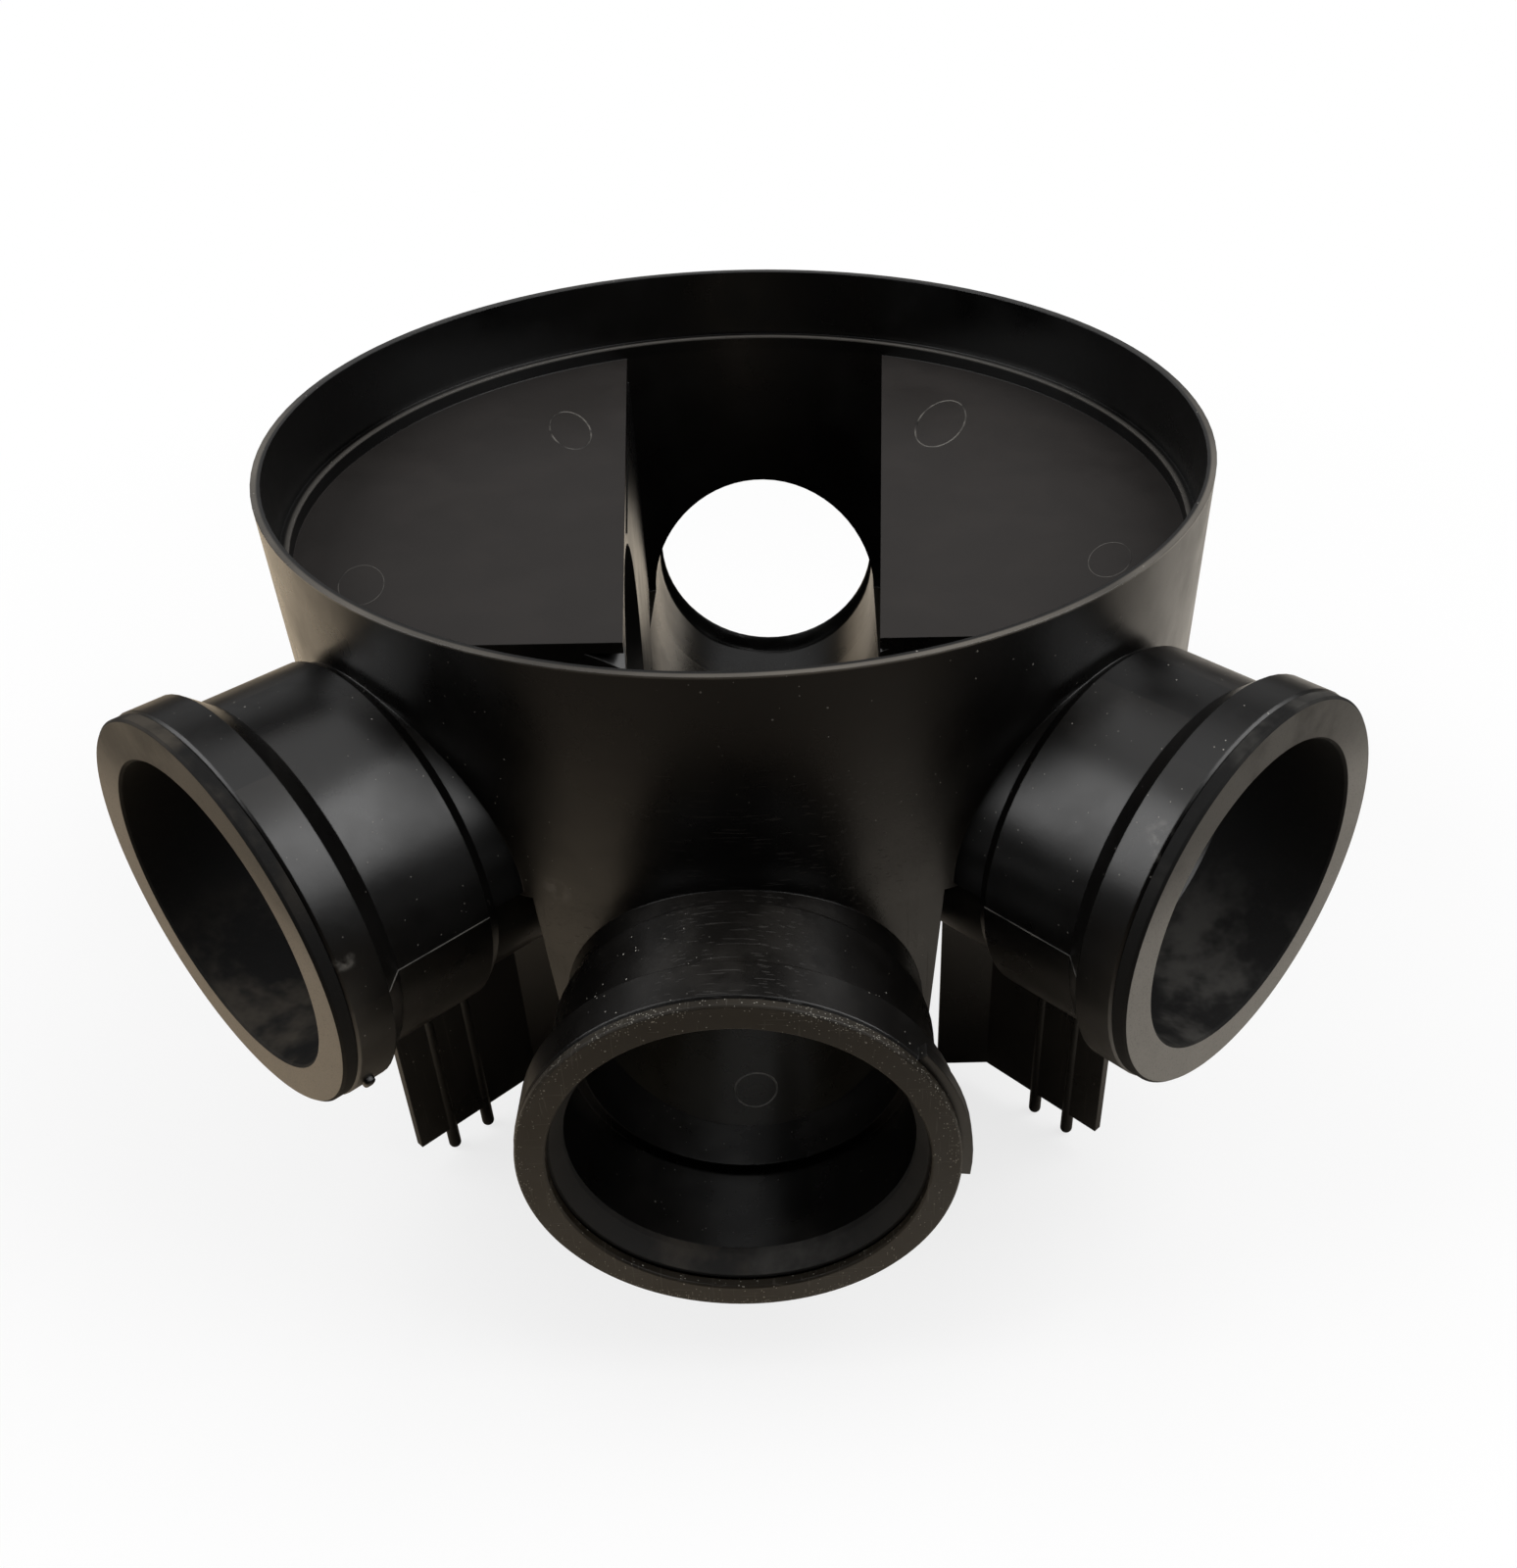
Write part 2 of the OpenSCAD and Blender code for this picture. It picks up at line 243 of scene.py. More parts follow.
# The black moulding. A pair of numbers is where a mask starts and ends. If its name ends in
# Share, it is how much is left where the pattern behind it is 0, and where it is 1.
bodyLook = {
    "dark": (0.0012, 0.0010, 0.0009),
    "light": (0.0024, 0.0021, 0.0019),
    "tone": {"scale": 16.0, "detail": 3.0, "reach": (0.32, 0.68)},
    "cloud": {"scale": 38.0, "detail": 4.0, "roughness": 0.62, "reach": (0.40, 0.72)},
    "levelUp": (0.55, 0.95),              # faces level enough for dust to settle

    "inner": (0.0002, 0.0002, 0.0002),    # painted shade: the upright walls inside the riser's socket are coloured near black
    "innerWall": 0.0008,
    "innerReach": (-0.0004, 0.0006),

    "film": (0.070, 0.062, 0.053),        # thin dust on the tops of the sockets
    "filmShare": (0.042, 0.147),

    "bench": (0.0125, 0.0096, 0.0080),
    "benchReach": (0.0006, 0.0012),
    "benchShare": (0.80, 1.00),

    "rim": (0.120, 0.108, 0.092),         # painted highlight, only on the rim's outer corner
    "rimReach": (-0.0009, -0.0003),
    "rimCorner": (0.0008, 0.0017),
    "rimShare": (0.35, 1.00),
    "rimBackReach": (-0.05, 0.07),        # and less of it towards the back
    "rimBackShare": (1.00, 0.15),

    # painted highlight along the ledge's rounded edge
    "ledge": (0.090, 0.084, 0.076),
    "ledgeWide": (0.0006, 0.0020),
    "ledgeReach": (0.0004, 0.0010),

    "silt": (0.0200, 0.0165, 0.0100),     # on the floors of the channels
    "siltUp": (0.2, 0.8),
    "siltReach": (-0.075, -0.065),
    "siltShare": (0.45, 0.60),

    "scuff": (0.040, 0.036, 0.032),
    "scuffMarks": {"scale": (60.0, 1500.0, 1300.0), "turn": (0.15, 0.1, 0.1),
                   "reach": (0.64, 0.69)},
    "scuffFacing": (0.20, 0.55),
    "scuffShare": 0.28,
    "scuffSpotShare": (0.04, 1.00),       # away from the scuffed spots, and on them
    "scuffed": (
        ((0.038, -0.159, -0.035), 0.040),
        ((0.004, -0.190, -0.047), 0.060),
        ((-0.052, -0.154, -0.080), 0.035),
    ),

    "dragMarks": {"scale": (1300.0, 1300.0, 38.0), "turn": (0.06, 0.05, 0.0),
                  "reach": (0.64, 0.69)},
    "dragFacing": (0.02, 0.10),
    "dragAbove": 0.02,                    # above the inlets' axes, where the marks fade out
    "dragShare": 0.35,

    # light spots on the collars and the drum: partly real wear and partly a painted highlight
    "worn": (0.110, 0.105, 0.096),
    "wornShare": 0.65,
    "wornPatches": {"scale": 260.0, "detail": 3.0, "reach": (0.38, 0.66)},
    "wornSpots": (
        ((-0.1070, -0.1983, -0.0434), 0.0030),
        ((-0.1088, -0.2000, -0.0432), 0.0032),
        ((-0.1106, -0.2017, -0.0429), 0.0028),
        ((0.1197, -0.1865, -0.0128), 0.0050),
        ((0.1212, -0.1905, -0.0148), 0.0055),
        ((-0.0560, -0.1540, -0.0560), 0.0060),
    ),

    "dust": (0.42, 0.40, 0.36),
    "dustGrains": ((900.0, 0.20, 0.030), (520.0, 0.17, 0.022)),    # scale, size, share of cells
    "dustPatches": {"scale": 14.0, "detail": 2.0, "reach": (0.40, 0.58)},
    "dustLevelShare": (0.55, 1.00),
    "dustShare": 0.75,

    "roughness": 0.24,
    "rougher": {"tone": 0.09, "cloud": 0.08, "bench": 0.30,
                "scuffs": 0.14, "drags": 0.10, "grains": 0.30},
    "roughest": 0.85,
    "ior": 1.49,

    "edgeRound": 0.0006,
    "rollReach": (0.181, 0.199),          # the outlet's end is rolled inwards, unevenly
    "rollUneven": 0.010,
    "rollScale": 26.0,
    "rollWall": 0.0008,
    "rollDepth": 0.0190,
    "waveScale": 30.0,
    "waveDepth": 0.00022,
    "skinScale": 900.0,
    "skinDepth": 0.000012,
    "skinScuffs": 1.5,
    "skinGrains": 1.2,
}


def bodyFinish():
    look = bodyLook
    f = finish("blackMoulding")
    tone = f.patches(**look["tone"])
    cloud = f.patches(**look["cloud"])

    # parts of the moulding
    level = f.rise(f.up, look["levelUp"])
    radius = fromAxis(f.x, f.y)
    outside = radius > drumRadius
    # painted shade: near black on the upright walls inside the riser's socket
    inner = (radius < riserRadius + look["innerWall"]) * f.rise(f.z - benchZ, look["innerReach"])
    inner = inner * (1.0 - level)
    bench = level * (1.0 - outside) * f.fade(abs(f.z - benchZ), look["benchReach"])
    # painted highlight along the rim's outer corner, less of it towards the back
    rim = f.rise(f.z - rimZ, look["rimReach"]) * f.rise(radius - riserRadius, look["rimCorner"])
    rim = rim * between(look["rimBackShare"], f.rise(f.y, look["rimBackReach"]))
    # painted highlight along the ledge
    ledge = f.fade(radius - drumRadius, look["ledgeWide"]) * f.fade(abs(f.z), look["ledgeReach"])
    outletBore = fromAxis(f.x, f.z - outletZ) < channelRadius + look["rollWall"]
    uneven = look["rollUneven"] * f.noise(look["rollScale"], 1.0)
    outletEnd = f.rise(f.y + uneven, look["rollReach"]) * outletBore

    # dirt and wear
    film = level * outside * (f.z < 0.0)
    silt = f.rise(f.up, look["siltUp"]) * f.fade(f.z, look["siltReach"]) * (1.0 - outside)
    grains = sum(f.specks(*grain) for grain in look["dustGrains"]).least(1.0)
    grains = grains * f.patches(**look["dustPatches"]) * between(look["dustLevelShare"], level)
    grains = grains * outside * (1.0 - inner)
    handled = sum(f.around(*spot) for spot in look["scuffed"]).least(1.0)
    scuffs = f.scratches(**look["scuffMarks"]) * between(look["scuffSpotShare"], handled)
    scuffs = scuffs * f.fade(abs(f.across), look["scuffFacing"]) * outside
    dragReach = (mainZ + look["dragAbove"], branchZ + look["dragAbove"])
    drags = f.scratches(**look["dragMarks"]) * f.fade(f.z, dragReach)
    drags = drags * f.fade(abs(f.up), look["dragFacing"]) * outside
    # light spots, partly real wear and partly a painted highlight
    worn = sum(f.around(*spot) for spot in look["wornSpots"]) * f.patches(**look["wornPatches"])

    colour = f.coated(f.mixed(tone, look["dark"], look["light"]), (
        (inner, look["inner"]),
        (film * between(look["filmShare"], cloud), look["film"]),
        (bench * between(look["benchShare"], cloud), look["bench"]),
        (rim * between(look["rimShare"], tone), look["rim"]),
        (ledge, look["ledge"]),
        (silt * between(look["siltShare"], cloud), look["silt"]),
        (look["scuffShare"] * scuffs + look["dragShare"] * drags, look["scuff"]),
        (look["wornShare"] * worn, look["worn"]),
        (look["dustShare"] * grains, look["dust"]),
    ))
    masks = {"tone": tone, "cloud": cloud, "bench": bench,
             "scuffs": scuffs, "drags": drags, "grains": grains}
    rough = look["roughness"] + sum(much * masks[name] for name, much in look["rougher"].items())
    rolled = f.relief(outletEnd, look["rollDepth"], f.rounded(look["edgeRound"]))
    waves = f.relief(f.noise(look["waveScale"]), look["waveDepth"], rolled)
    fine = f.noise(look["skinScale"]) - look["skinScuffs"] * scuffs + look["skinGrains"] * grains
    skin = f.relief(fine, look["skinDepth"], waves)
    return f.surface({"Base Color": colour, "Roughness": rough.least(look["roughest"]),
                      "Normal": skin, "IOR": look["ior"]})


# thin ridges of the same moulding, which handling has rubbed lighter than the walls around them
ridgeLook = {
    "dull": (0.010, 0.009, 0.008),
    "rubbed": (0.105, 0.098, 0.088),
    "rubbedPatches": {"scale": 95.0, "detail": 3.0, "reach": (0.36, 0.62)},
    "roughness": (0.36, 0.48),            # where it is dull, and where it is rubbed
    "ior": 1.49,
    "skinScale": 900.0,
    "skinDepth": 0.00001,
}


def ridgeFinish():
    look = ridgeLook
    f = finish("rubbedRidge")
    rubbed = f.patches(**look["rubbedPatches"])
    skin = f.relief(f.noise(look["skinScale"]), look["skinDepth"])
    return f.surface({"Base Color": f.mixed(rubbed, look["dull"], look["rubbed"]),
                      "Roughness": between(look["roughness"], rubbed),
                      "Normal": skin, "IOR": look["ior"]})


# the retaining ring: a browner, duller plastic with light dust stuck to it
ringLook = {
    "dark": (0.0080, 0.0057, 0.0030),
    "light": (0.0155, 0.0114, 0.0062),
    "tone": {"scale": 45.0, "detail": 4.0, "roughness": 0.6, "reach": (0.30, 0.70)},

    "dust": (0.40, 0.38, 0.33),
    "dustShare": 0.6,
    "dustPatches": {"scale": 30.0, "detail": 2.0, "reach": (0.36, 0.60)},
    "dustEdge": (-0.0052, -0.0006),       # dust gathers at the outer edge
    "fineGrains": {"scale": 1500.0, "size": 0.30},
    "fineShare": (0.06, 0.56),
    "coarseGrains": {"scale": 640.0, "size": 0.19},
    "coarseShare": (0.03, 0.11),

    "rub": (0.085, 0.078, 0.066),
    "rubShare": 0.3,
    "rubEdgeShare": 0.08,
    "rubMarks": (
        {"scale": (1500.0, 90.0, 60.0), "turn": (0.0, 0.5, 0.0), "reach": (0.655, 0.705)},
        {"scale": (80.0, 90.0, 1400.0), "turn": (0.0, 0.9, 0.0), "reach": (0.66, 0.71)},
    ),

    "roughness": 0.42,
    "rougher": {"tone": 0.10, "grains": 0.20},
    "ior": 1.50,
    "specular": 0.34,
    "edgeRound": 0.0005,
    "skinScale": 800.0,
    "skinDepth": 0.00002,
    "skinGrains": 2.0,
    "skinRubs": 1.5,
}


def ringFinish():
    look = ringLook
    f = finish("dustyRing")
    tone = f.patches(**look["tone"])
    patchy = f.patches(**look["dustPatches"])
    edge = f.rise(fromAxis(f.x, f.z - mainZ) - collarRadius, look["dustEdge"])
    powder = f.specks(**look["fineGrains"], share=between(look["fineShare"], edge * patchy))
    coarse = f.specks(**look["coarseGrains"], share=between(look["coarseShare"], patchy))
    grains = (powder + coarse).least(1.0)
    rubs = sum(f.scratches(**marks) for marks in look["rubMarks"]).least(1.0)

    colour = f.coated(f.mixed(tone, look["dark"], look["light"]), (
        (look["rubShare"] * rubs + look["rubEdgeShare"] * edge, look["rub"]),
        (look["dustShare"] * grains, look["dust"]),
    ))
    rougher = look["rougher"]
    rough = look["roughness"] + rougher["tone"] * tone + rougher["grains"] * grains
    fine = f.noise(look["skinScale"]) + look["skinGrains"] * grains - look["skinRubs"] * rubs
    skin = f.relief(fine, look["skinDepth"], f.rounded(look["edgeRound"]))
    return f.surface({"Base Color": colour, "Roughness": rough, "Normal": skin,
                      "IOR": look["ior"], "Specular IOR Level": look["specular"]})


# the rubber seals: the branches' wide flanges are grey with bloom and a painted reflection of the
# floor, warm on the left and neutral on the right, while the sleeves behind them are still dark
sealLook = {
    "dark": (0.0010, 0.0009, 0.0008),
    "light": (0.0022, 0.0020, 0.0018),
    "tone": {"scale": 60.0, "detail": 4.0, "roughness": 0.6, "reach": (0.30, 0.70)},
    "cloud": {"scale": 32.0, "detail": 4.0, "roughness": 0.65, "reach": (0.42, 0.66)},

    "bloomLeft": (0.225, 0.190, 0.146),
    "bloomRight": (0.212, 0.202, 0.184),
    "flangeFacing": (0.90, 0.97),
    "flangeReach": (-0.090, -0.070),      # along, and out to the sides
    "flangeWide": (0.075, 0.085),
    "flangeShare": (0.86, 1.00),
    "soiledReach": (0.012, 0.048),        # the upper part of a flange stays darker
    "soiledCloudShare": (0.75, 1.00),
    "soiledShare": 0.85,
    "settledUp": (0.35, 0.95),            # a little of the flanges' colour, bloom and painted reflection, lies on the sleeves' floors
    "settledShare": 0.18,

    "front": (0.0240, 0.0230, 0.0220),    # the main inlet's seal
    "frontWide": (0.070, 0.075),
    "frontReach": (-0.150, -0.140),
    "frontShare": (0.70, 1.00),

    "pore": (0.020, 0.019, 0.018),
    "pores": (700.0, 0.16, 0.05),         # scale, size, share of cells
    "poreShare": 0.35,
    "grain": {"scale": 1500.0, "detail": 3.0, "roughness": 0.7},
    "grainReach": (0.52, 0.72),
    "grainShare": (0.20, 0.45),
    "grainDepth": 0.00004,

    "roughness": 0.72,
    "rougher": {"tone": 0.06, "flange": -0.24},
    "ior": 1.50,
    "specular": 0.24,
    "edgeRound": 0.0006,
}


def sealFinish():
    look = sealLook
    f = finish("sealRubber")
    tone = f.patches(**look["tone"])
    cloud = f.patches(**look["cloud"])
    grain = f.noise(**look["grain"])
    pores = f.specks(*look["pores"])

    outwards = f.across * ((f.x > 0.0) * 2.0 - 1.0)
    outOfBranch = (outwards - f.along) * math.sqrt(0.5)     # 1 on faces that look out of a branch
    flange = f.rise(outOfBranch, look["flangeFacing"]) * f.fade(f.y, look["flangeReach"])
    flange = flange * f.rise(abs(f.x), look["flangeWide"])
    # the upper part of each flange is coloured darker
    darkerTop = f.rise(f.z - branchZ, look["soiledReach"]) * between(look["soiledCloudShare"], cloud)
    darkerTopFactor = 1.0 - look["soiledShare"] * darkerTop
    settled = cloud * f.rise(f.up, look["settledUp"])
    front = f.fade(abs(f.x), look["frontWide"]) * f.fade(f.y, look["frontReach"])
    grainy = between(look["grainShare"], flange) * f.rise(grain, look["grainReach"])
    # bloom colour with a painted reflection of the floor: warm on the left, neutral on the right
    bloomAndReflection = f.mixed(f.x > 0.0, look["bloomLeft"], look["bloomRight"])

    colour = f.coated(f.mixed(tone, look["dark"], look["light"]), (
        (front * between(look["frontShare"], tone), look["front"]),
        (look["settledShare"] * settled, bloomAndReflection),
        (flange * between(look["flangeShare"], tone) * darkerTopFactor, bloomAndReflection),
        (look["poreShare"] * pores + grainy, look["pore"]),
    ))
    rougher = look["rougher"]
    rough = look["roughness"] + rougher["tone"] * tone + rougher["flange"] * flange
    skin = f.relief(grain, look["grainDepth"], f.rounded(look["edgeRound"]))
    return f.surface({"Base Color": colour, "Roughness": rough, "Normal": skin,
                      "IOR": look["ior"], "Specular IOR Level": look["specular"]})


ridgeMaterial = ridgeFinish()
finishes = {
    "black_plastic": bodyFinish(),
    "ring_plastic": ringFinish(),
    "seal_rubber": sealFinish(),
}
slots = {part["node"]: part["material_slot"] for part in frame["record"]["subparts"]}
for name, node in frame["nodes"].items():
    node.data.materials.clear()
    node.data.materials.append(finishes[slots[name]])
print("finishes set on", len(frame["nodes"]), "nodes")


def keepPiece(bm, name, material, smooth=True, mergeWithin=1e-6):
    bmesh.ops.remove_doubles(bm, verts=bm.verts, dist=mergeWithin)
    bmesh.ops.recalc_face_normals(bm, faces=bm.faces)
    mesh = bpy.data.meshes.new(name)
    bm.to_mesh(mesh)
    bm.free()
    for face in mesh.polygons:
        face.use_smooth = smooth
    piece = bpy.data.objects.new(name, mesh)
    bpy.context.scene.collection.objects.link(piece)
    mesh.materials.append(material)
    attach(piece, "root")
    return piece


def extruded(bm, edges):
    grown = bmesh.ops.extrude_edge_only(bm, edges=edges)["geom"]
    verts = [g for g in grown if isinstance(g, bmesh.types.BMVert)]
    edges = [g for g in grown if isinstance(g, bmesh.types.BMEdge)]
    return verts, [edge for edge in edges if all(v in verts for v in edge.verts)]


def onBranch(turn):
    # a branch is made pointing to -Y about its own axis, and then turned into place
    lifted = Matrix.Translation((0.0, 0.0, branchZ))
    return lifted @ Matrix.Rotation(math.radians(turn), 4, "Z")


# fine ridge that the mould's joint leaves along the side of each branch socket
parting = {
    "proud": 0.00035, "halfWidth": 0.00045, "sunk": 0.0008,
    "backEnd": 0.0575, "coneStart": 0.0245, "coneEnd": 0.0175,    # back from the socket's face
}


def partingRidge(name, turn, side):
    proud, half, sunk = parting["proud"], parting["halfWidth"], parting["sunk"]
    path = [(branchFace - parting["backEnd"], barrelRadius),
            (branchFace - parting["coneStart"], barrelRadius),
            (branchFace - parting["coneEnd"], collarRadius)]
    reach, out = path[0]
    bm = bmesh.new()
    section = [(-sunk, -half), (proud, 0.0), (-sunk, half)]
    verts = [bm.verts.new((side * (out + rise), -reach, wide)) for rise, wide in section]
    edges = [bm.edges.new((verts[i], verts[i - 1])) for i in range(len(verts))]
    bmesh.ops.contextual_create(bm, geom=edges)
    for (reachA, outA), (reachB, outB) in zip(path, path[1:]):
        verts, edges = extruded(bm, edges)
        bmesh.ops.translate(bm, verts=verts, vec=(side * (outB - outA), reachA - reachB, 0.0))
    bmesh.ops.contextual_create(bm, geom=edges)
    bmesh.ops.transform(bm, matrix=onBranch(turn), verts=bm.verts)
    return keepPiece(bm, name, ridgeMaterial, smooth=False)


for sideName, turn in branchTurns.items():
    towardsFront = -math.copysign(1.0, turn)
    partingRidge(sideName + "PartingFront", turn, towardsFront)
    partingRidge(sideName + "PartingBack", turn, -towardsFront)
print("parting ridges made")


# small nub of flash left low on the left socket's collar
nub = {
    "reach": 0.2155, "below": 36.5,       # along the branch, and degrees below its axis
    "size": (0.0042, 0.0036, 0.0046), "round": 0.0011, "segments": 3,
}


def flashNub():
    bm = bmesh.new()
    bmesh.ops.create_cube(bm, size=1.0)
    bmesh.ops.scale(bm, verts=bm.verts, vec=nub["size"])
    bmesh.ops.bevel(bm, geom=list(bm.edges), offset=nub["round"], affect="EDGES",
                    segments=nub["segments"], profile=0.5, material=-1)
    bmesh.ops.translate(bm, verts=bm.verts, vec=(collarRadius, -nub["reach"], 0.0))
    lowered = Matrix.Rotation(math.radians(nub["below"]), 4, "Y")
    bmesh.ops.transform(bm, matrix=onBranch(branchTurns["left"]) @ lowered, verts=bm.verts)
    return keepPiece(bm, "leftFlashNub", finishes["black_plastic"])


flashNub()
print("flash nub made")


# raised ovals that the ejectors leave on the benching and on the channel's floor: half is the
# oval's half width and half length, and halfLine is half the width of its line
witnesses = {
    "benchWitnessLeft": {"centre": (-0.0712, 0.0742), "half": (0.0077, 0.0187), "turn": 15.5,
                         "halfLine": 0.00055, "proud": 0.00016},
    "benchWitnessRight": {"centre": (0.0764, 0.0755), "half": (0.0093, 0.0230), "turn": -14.5,
                          "halfLine": 0.00055, "proud": 0.00016},
    "benchWitnessFrontLeft": {"centre": (-0.1275, -0.050), "half": (0.0075, 0.0140), "turn": 12.0,
                              "halfLine": 0.0003, "proud": 0.00004},
    "benchWitnessFrontRight": {"centre": (0.1270, -0.041), "half": (0.0070, 0.0130), "turn": -20.0,
                               "halfLine": 0.0003, "proud": 0.00004},
    "channelWitness": {"centre": (0.0005, -0.1400), "half": (0.0075, 0.0085), "turn": 0.0,
                       "halfLine": 0.00055, "proud": 0.0002},
}
witnessShape = {"sunk": 0.0002, "crest": 0.35, "segments": 72}


def channelFloor(x, y):
    slope = (mainZ - outletZ) / (channelStart + drumRadius)
    axis = mainZ - (y + channelStart) * slope
    return axis - math.sqrt(channelRadius ** 2 - x * x)


def witnessMark(name, look):
    wide, long = look["half"]
    line, proud = look["halfLine"], look["proud"]
    sunk, crest = witnessShape["sunk"], witnessShape["crest"]
    profile = [(-1.0, -sunk), (-crest, proud), (crest, proud), (1.0, -sunk)]
    bm = bmesh.new()
    ring = bmesh.ops.create_circle(bm, cap_ends=False, radius=1.0,
                                   segments=witnessShape["segments"])["verts"]
    edges = list(bm.edges)
    bmesh.ops.scale(bm, verts=ring, vec=(wide - line, long - line, 1.0))
    bmesh.ops.translate(bm, verts=ring, vec=(0.0, 0.0, -sunk))
    for (stepA, heightA), (stepB, heightB) in zip(profile, profile[1:]):
        ring, edges = extruded(bm, edges)
        spread = ((wide + stepB * line) / (wide + stepA * line),
                  (long + stepB * line) / (long + stepA * line), 1.0)
        bmesh.ops.scale(bm, verts=ring, vec=spread)
        bmesh.ops.translate(bm, verts=ring, vec=(0.0, 0.0, heightB - heightA))
    moved = Matrix.Translation((*look["centre"], 0.0))
    turned = Matrix.Rotation(math.radians(look["turn"]), 4, "Z")
    bmesh.ops.transform(bm, matrix=moved @ turned, verts=bm.verts)
    for v in bm.verts:
        v.co.z += channelFloor(v.co.x, v.co.y) if name == "channelWitness" else benchZ
    return keepPiece(bm, name, ridgeMaterial)


for name, look in witnesses.items():
    witnessMark(name, look)
print("witness marks made")


# floor and world: the camera sees them white, and the object is lit by the colours here
studio = {
    "floorSize": 9.0,
    "paleLeft": (0.95, 0.78, 0.57),
    "paleRight": (0.90, 0.83, 0.73),
    "sideReach": (-0.3, 0.3),
    "far": (0.20, 0.165, 0.13),           # painted shade: darker floor, away from the object
    "farReach": (0.31, 0.44),
    "farFront": (-0.35, 0.30),            # but only in front
    "underReach": (0.17, 0.27),           # and a painted shadow straight under the object
    "under": 0.75,
    "roughness": 0.8,
    "specular": 0.1,
    "paper": (0.92, 0.92, 0.92),          # takes the shadow that the camera sees
    "shadow": 0.22,
    "shadowReach": (0.30, 0.75),
    "white": (1.0, 1.0, 1.0),
    "fill": (0.022, 0.022, 0.022),        # faint light from the room
}


def makeFloor():
    bm = bmesh.new()
    bmesh.ops.create_grid(bm, x_segments=1, y_segments=1, size=studio["floorSize"])
    bmesh.ops.translate(bm, verts=bm.verts, vec=(0.0, 0.0, floorZ))
    mesh = bpy.data.meshes.new("floor")
    bm.to_mesh(mesh)
    bm.free()
    floor = bpy.data.objects.new("floor", mesh)
    bpy.context.scene.collection.objects.link(floor)
    f = finish("paleFloor")
    away = fromAxis(f.x, f.y)
    pale = f.mixed(f.rise(f.x, studio["sideReach"]), studio["paleLeft"], studio["paleRight"])
    # painted shade on the floor in front of the object
    far = f.rise(away, studio["farReach"]) * f.fade(f.y / away, studio["farFront"])
    # painted shadow on the floor straight under the object
    under = studio["under"] * f.fade(away, studio["underReach"])
    ground = f.coated(pale, ((far, studio["far"]), (under, studio["far"])))
    f.surface({"Base Color": ground, "Roughness": studio["roughness"],
               "Specular IOR Level": studio["specular"]})
    share = studio["shadow"] * f.fade(away, studio["shadowReach"])
    seen = f.node("ShaderNodeLightPath", output="Is Camera Ray")
    white = f.node("ShaderNodeEmission", inputs={"Color": studio["white"], "Strength": 1.0})
    shadowed = f.node("ShaderNodeBsdfDiffuse", inputs={"Color": studio["paper"]})
    paper = f.node("ShaderNodeMixShader", inputs={0: share, 1: white, 2: shadowed})
    f.show(f.node("ShaderNodeMixShader", inputs={0: seen, 1: f.principled, 2: paper}))
    mesh.materials.append(f.material)


def makeWorld():
    world = bpy.data.worlds.new("studio")
    bpy.context.scene.world = world
    room = nodeSet(world, "ShaderNodeOutputWorld")
    seen = room.node("ShaderNodeLightPath", output="Is Camera Ray")
    fill = room.node("ShaderNodeBackground", inputs={"Color": studio["fill"], "Strength": 1.0})
    white = room.node("ShaderNodeBackground", inputs={"Color": studio["white"], "Strength": 1.0})
    room.show(room.node("ShaderNodeMixShader", inputs={0: seen, 1: fill, 2: white}))


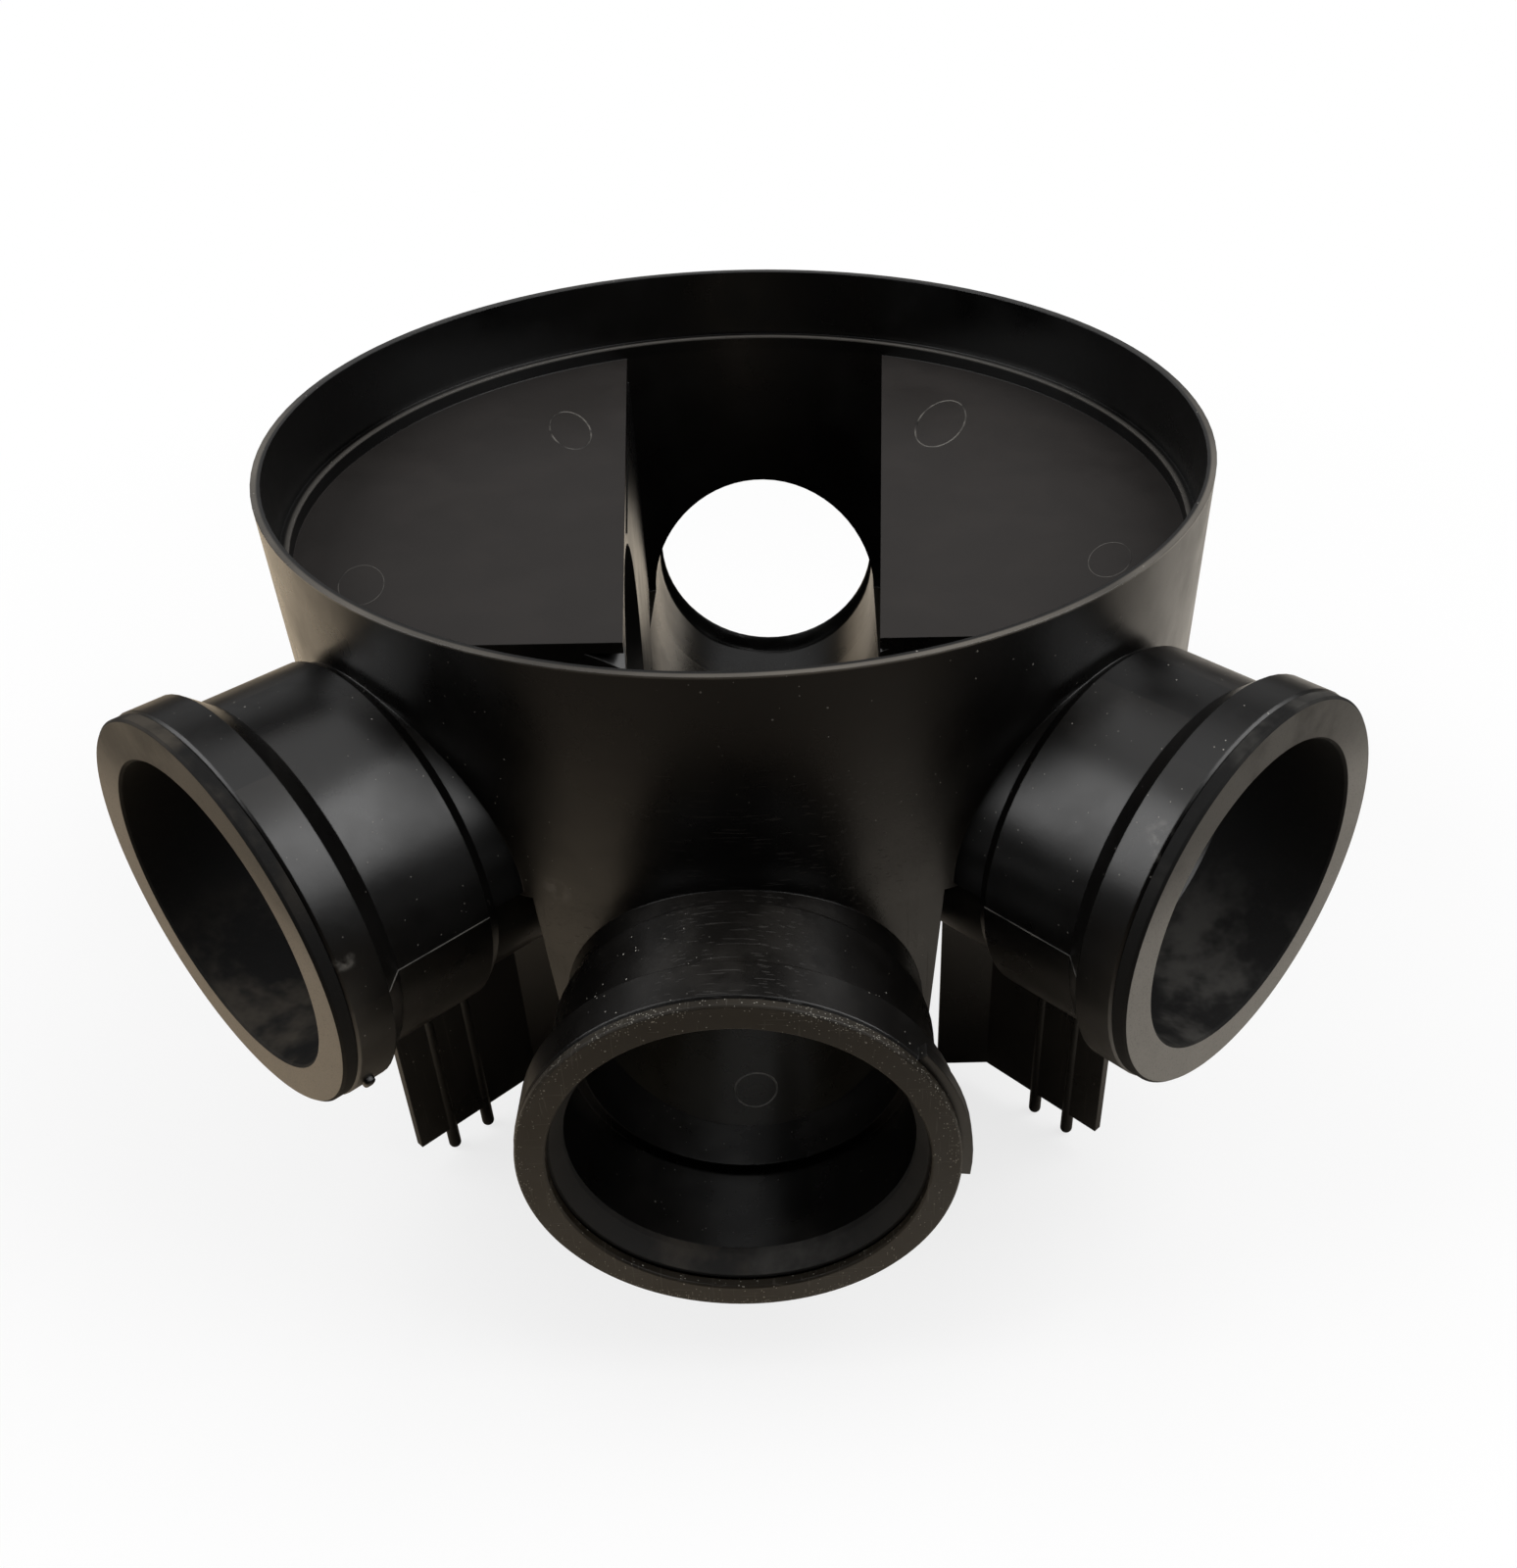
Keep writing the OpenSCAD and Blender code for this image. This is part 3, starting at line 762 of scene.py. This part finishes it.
# azimuth and height in degrees, the rest in metres and watts
lamps = {
    "softLeft": {"azimuth": -172.0, "height": 40.0, "away": 1.30,
                 "size": (1.05, 1.05), "watts": 13.0},
    "softRight": {"azimuth": -10.0, "height": 45.0, "away": 1.30,
                  "size": (1.10, 1.10), "watts": 16.0},
    "softTop": {"azimuth": 90.0, "height": 82.0, "away": 1.50,
                "size": (1.20, 1.20), "watts": 5.0},
    "softBack": {"azimuth": 92.0, "height": 28.0, "away": 1.40,
                 "size": (1.90, 0.75), "watts": 1.6},
}
lampAim = Vector((0.0, 0.0, -0.08))


def makeLamps():
    for name, look in lamps.items():
        light = bpy.data.lights.new(name, "AREA")
        light.shape = "RECTANGLE"
        light.size, light.size_y = look["size"]
        light.energy = look["watts"]
        lamp = bpy.data.objects.new(name, light)
        bpy.context.scene.collection.objects.link(lamp)
        a, h = math.radians(look["azimuth"]), math.radians(look["height"])
        towards = Vector((math.cos(a) * math.cos(h), math.sin(a) * math.cos(h), math.sin(h)))
        lamp.location = towards * look["away"] + lampAim
        lamp.rotation_euler = towards.to_track_quat("Z", "Y").to_euler()
        lamp.visible_camera = False


viewpoint = {
    "place": (0.02867, -0.53777, 0.25757),
    "pitch": 39.23, "yaw": 1.38, "roll": 0.31,
    "lens": 36.863, "sensor": 36.0, "shiftX": -0.0653, "shiftY": 0.0646, "near": 0.01,
}


def makeCamera():
    pitch, yaw, roll = (math.radians(viewpoint[k]) for k in ("pitch", "yaw", "roll"))
    level = Vector((math.cos(yaw), -math.sin(yaw), 0.0))
    ahead = Vector((math.sin(yaw) * math.cos(pitch), math.cos(yaw) * math.cos(pitch),
                    -math.sin(pitch)))
    below = ahead.cross(level)
    right = level * math.cos(roll) + below * math.sin(roll)
    down = below * math.cos(roll) - level * math.sin(roll)
    turned = Matrix((right, -down, -ahead)).transposed().to_4x4()
    data = bpy.data.cameras.new("camera")
    data.sensor_width = viewpoint["sensor"]
    data.lens = viewpoint["lens"]
    data.shift_x = viewpoint["shiftX"]
    data.shift_y = viewpoint["shiftY"]
    data.clip_start = viewpoint["near"]
    camera = bpy.data.objects.new("camera", data)
    bpy.context.scene.collection.objects.link(camera)
    camera.matrix_world = Matrix.Translation(viewpoint["place"]) @ turned
    bpy.context.scene.camera = camera


makeFloor()
makeWorld()
makeLamps()
makeCamera()
bpy.context.scene.view_settings.view_transform = "Standard"
print("studio ready")
